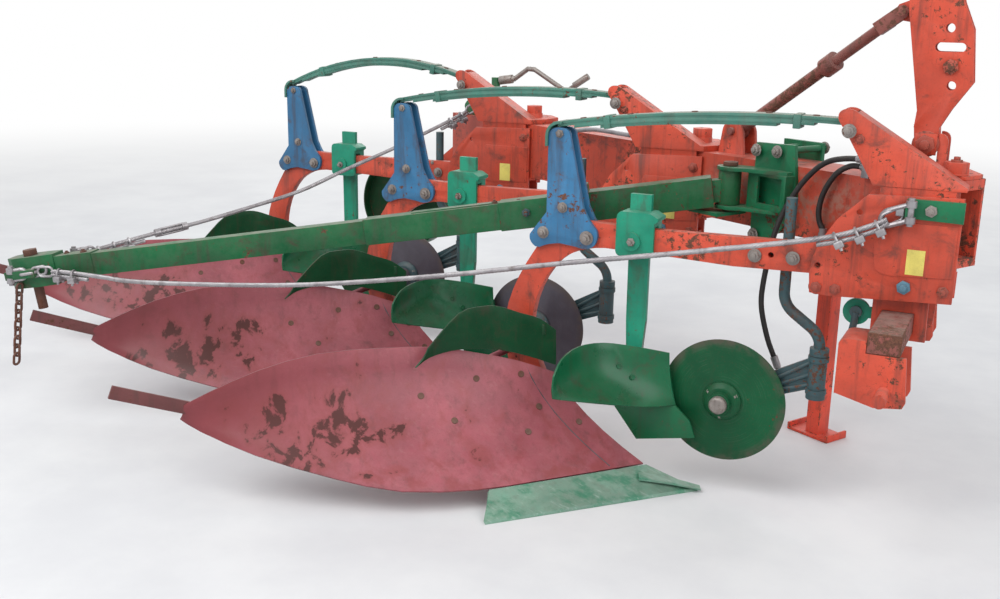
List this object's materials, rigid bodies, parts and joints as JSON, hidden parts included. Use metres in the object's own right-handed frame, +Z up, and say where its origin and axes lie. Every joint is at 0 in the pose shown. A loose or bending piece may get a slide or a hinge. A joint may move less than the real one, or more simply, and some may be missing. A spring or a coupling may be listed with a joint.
{
  "type": "mounted mouldboard plough",
  "caption": "Mounted plough with curved mouldboards on leaf-spring trip legs, disc coulters, skimmers, a stand, a depth wheel and a stayed furrow-press arm.",
  "frame": {"origin": "middle of the plough's outline in plan, on the ground under the shares", "axes": "+X is the direction of travel, +Y is the land side, +Z is up; the main beam runs slantwise from front right to rear left"},
  "size_m": [4.1402, 2.7343, 1.7],
  "materials": {
    "orange_paint": "worn orange-red paint, chipped and dusty",
    "brown_paint": "rusty brown paint",
    "red_paint": "worn red paint",
    "bright_green": "worn bright green paint",
    "dark_green": "worn dark green paint",
    "arm_green": "dusty dark green paint",
    "teal_paint": "weathered teal-green paint over spring steel",
    "blue_paint": "worn blue paint",
    "board_red": "dusty red steel with dark rust patches",
    "share_green": "pale green paint",
    "frog_red": "worn dark red paint",
    "dark_iron": "dark worn casting",
    "disc_green": "green painted disc",
    "disc_grey": "dull grey steel",
    "rusty_steel": "rusty steel",
    "hose_rubber": "dull black hose rubber",
    "rope_steel": "dull galvanised wire rope"
  },
  "bodies": {
    "frame": {"main_beam": "orange_paint", "headstock": "orange_paint", "mast": "orange_paint", "mast_brace": "brown_paint", "cross_bar": "brown_paint", "link_pins": "orange_paint", "head_1": "orange_paint", "head_2": "orange_paint", "head_3": "orange_paint", "leg_1": "orange_paint", "leg_2": "orange_paint", "leg_3": "orange_paint", "spring_arms": "blue_paint", "leaf_springs": "teal_paint", "mouldboard_1": "board_red", "mouldboard_2": "board_red", "mouldboard_3": "board_red", "trashboards": "dark_green", "shares": "share_green", "frogs": "frog_red", "skimmer_1": "bright_green", "skimmer_2": "bright_green", "skimmer_3": "bright_green", "coulter_stems": "dark_iron", "stand_sleeve": "red_paint", "wheel_arm": "orange_paint", "wheel_spindle": "arm_green", "wheel_crank": "rope_steel", "press_bracket": "bright_green", "press_arm": "arm_green", "press_tube": "arm_green", "press_pin": "rusty_steel", "front_stay": "rope_steel", "rear_stay": "rope_steel", "stay_anchors": "bright_green", "low_hose": "hose_rubber", "port_hose": "hose_rubber", "hose_block": "rope_steel", "low_coupling": "rope_steel"},
    "stand": {"stand_leg": "red_paint"},
    "gauge_wheel": {"depth_wheel": "dark_green"},
    "swivel_1": {"coulter_arm_1": "dark_iron"},
    "disc_1": {"coulter_disc_1": "disc_green"},
    "swivel_2": {"coulter_arm_2": "dark_iron"},
    "disc_2": {"coulter_disc_2": "disc_grey"},
    "swivel_3": {"coulter_arm_3": "dark_iron"},
    "disc_3": {"coulter_disc_3": "disc_grey"}
  },
  "joints": [
    {"name": "swivel_1_turn", "type": "hinge", "parent": "frame", "child": "swivel_1", "pos_m": [1.656, -0.28, 0.46], "axis": [0, 0, 1], "range_deg": [-18, 2]},
    {"name": "disc_1_spin", "type": "hinge", "parent": "swivel_1", "child": "disc_1", "pos_m": [1.366, -0.302, 0.329], "axis": [0, 1, 0], "continuous": true},
    {"name": "swivel_2_turn", "type": "hinge", "parent": "frame", "child": "swivel_2", "pos_m": [0.756, 0.215, 0.46], "axis": [0, 0, 1], "range_deg": [-18, 2]},
    {"name": "disc_2_spin", "type": "hinge", "parent": "swivel_2", "child": "disc_2", "pos_m": [0.466, 0.193, 0.329], "axis": [0, 1, 0], "continuous": true},
    {"name": "swivel_3_turn", "type": "hinge", "parent": "frame", "child": "swivel_3", "pos_m": [-0.144, 0.71, 0.46], "axis": [0, 0, 1], "range_deg": [-18, 2]},
    {"name": "disc_3_spin", "type": "hinge", "parent": "swivel_3", "child": "disc_3", "pos_m": [-0.434, 0.688, 0.329], "axis": [0, 1, 0], "continuous": true},
    {"name": "stand_slide", "type": "slide", "parent": "frame", "child": "stand", "axis": [0, 0, 1], "range_m": [0, 0.35]},
    {"name": "gauge_wheel_spin", "type": "hinge", "parent": "frame", "child": "gauge_wheel", "pos_m": [-0.8, 1.313, 0.558], "axis": [0, 1, 0], "continuous": true}
  ]
}
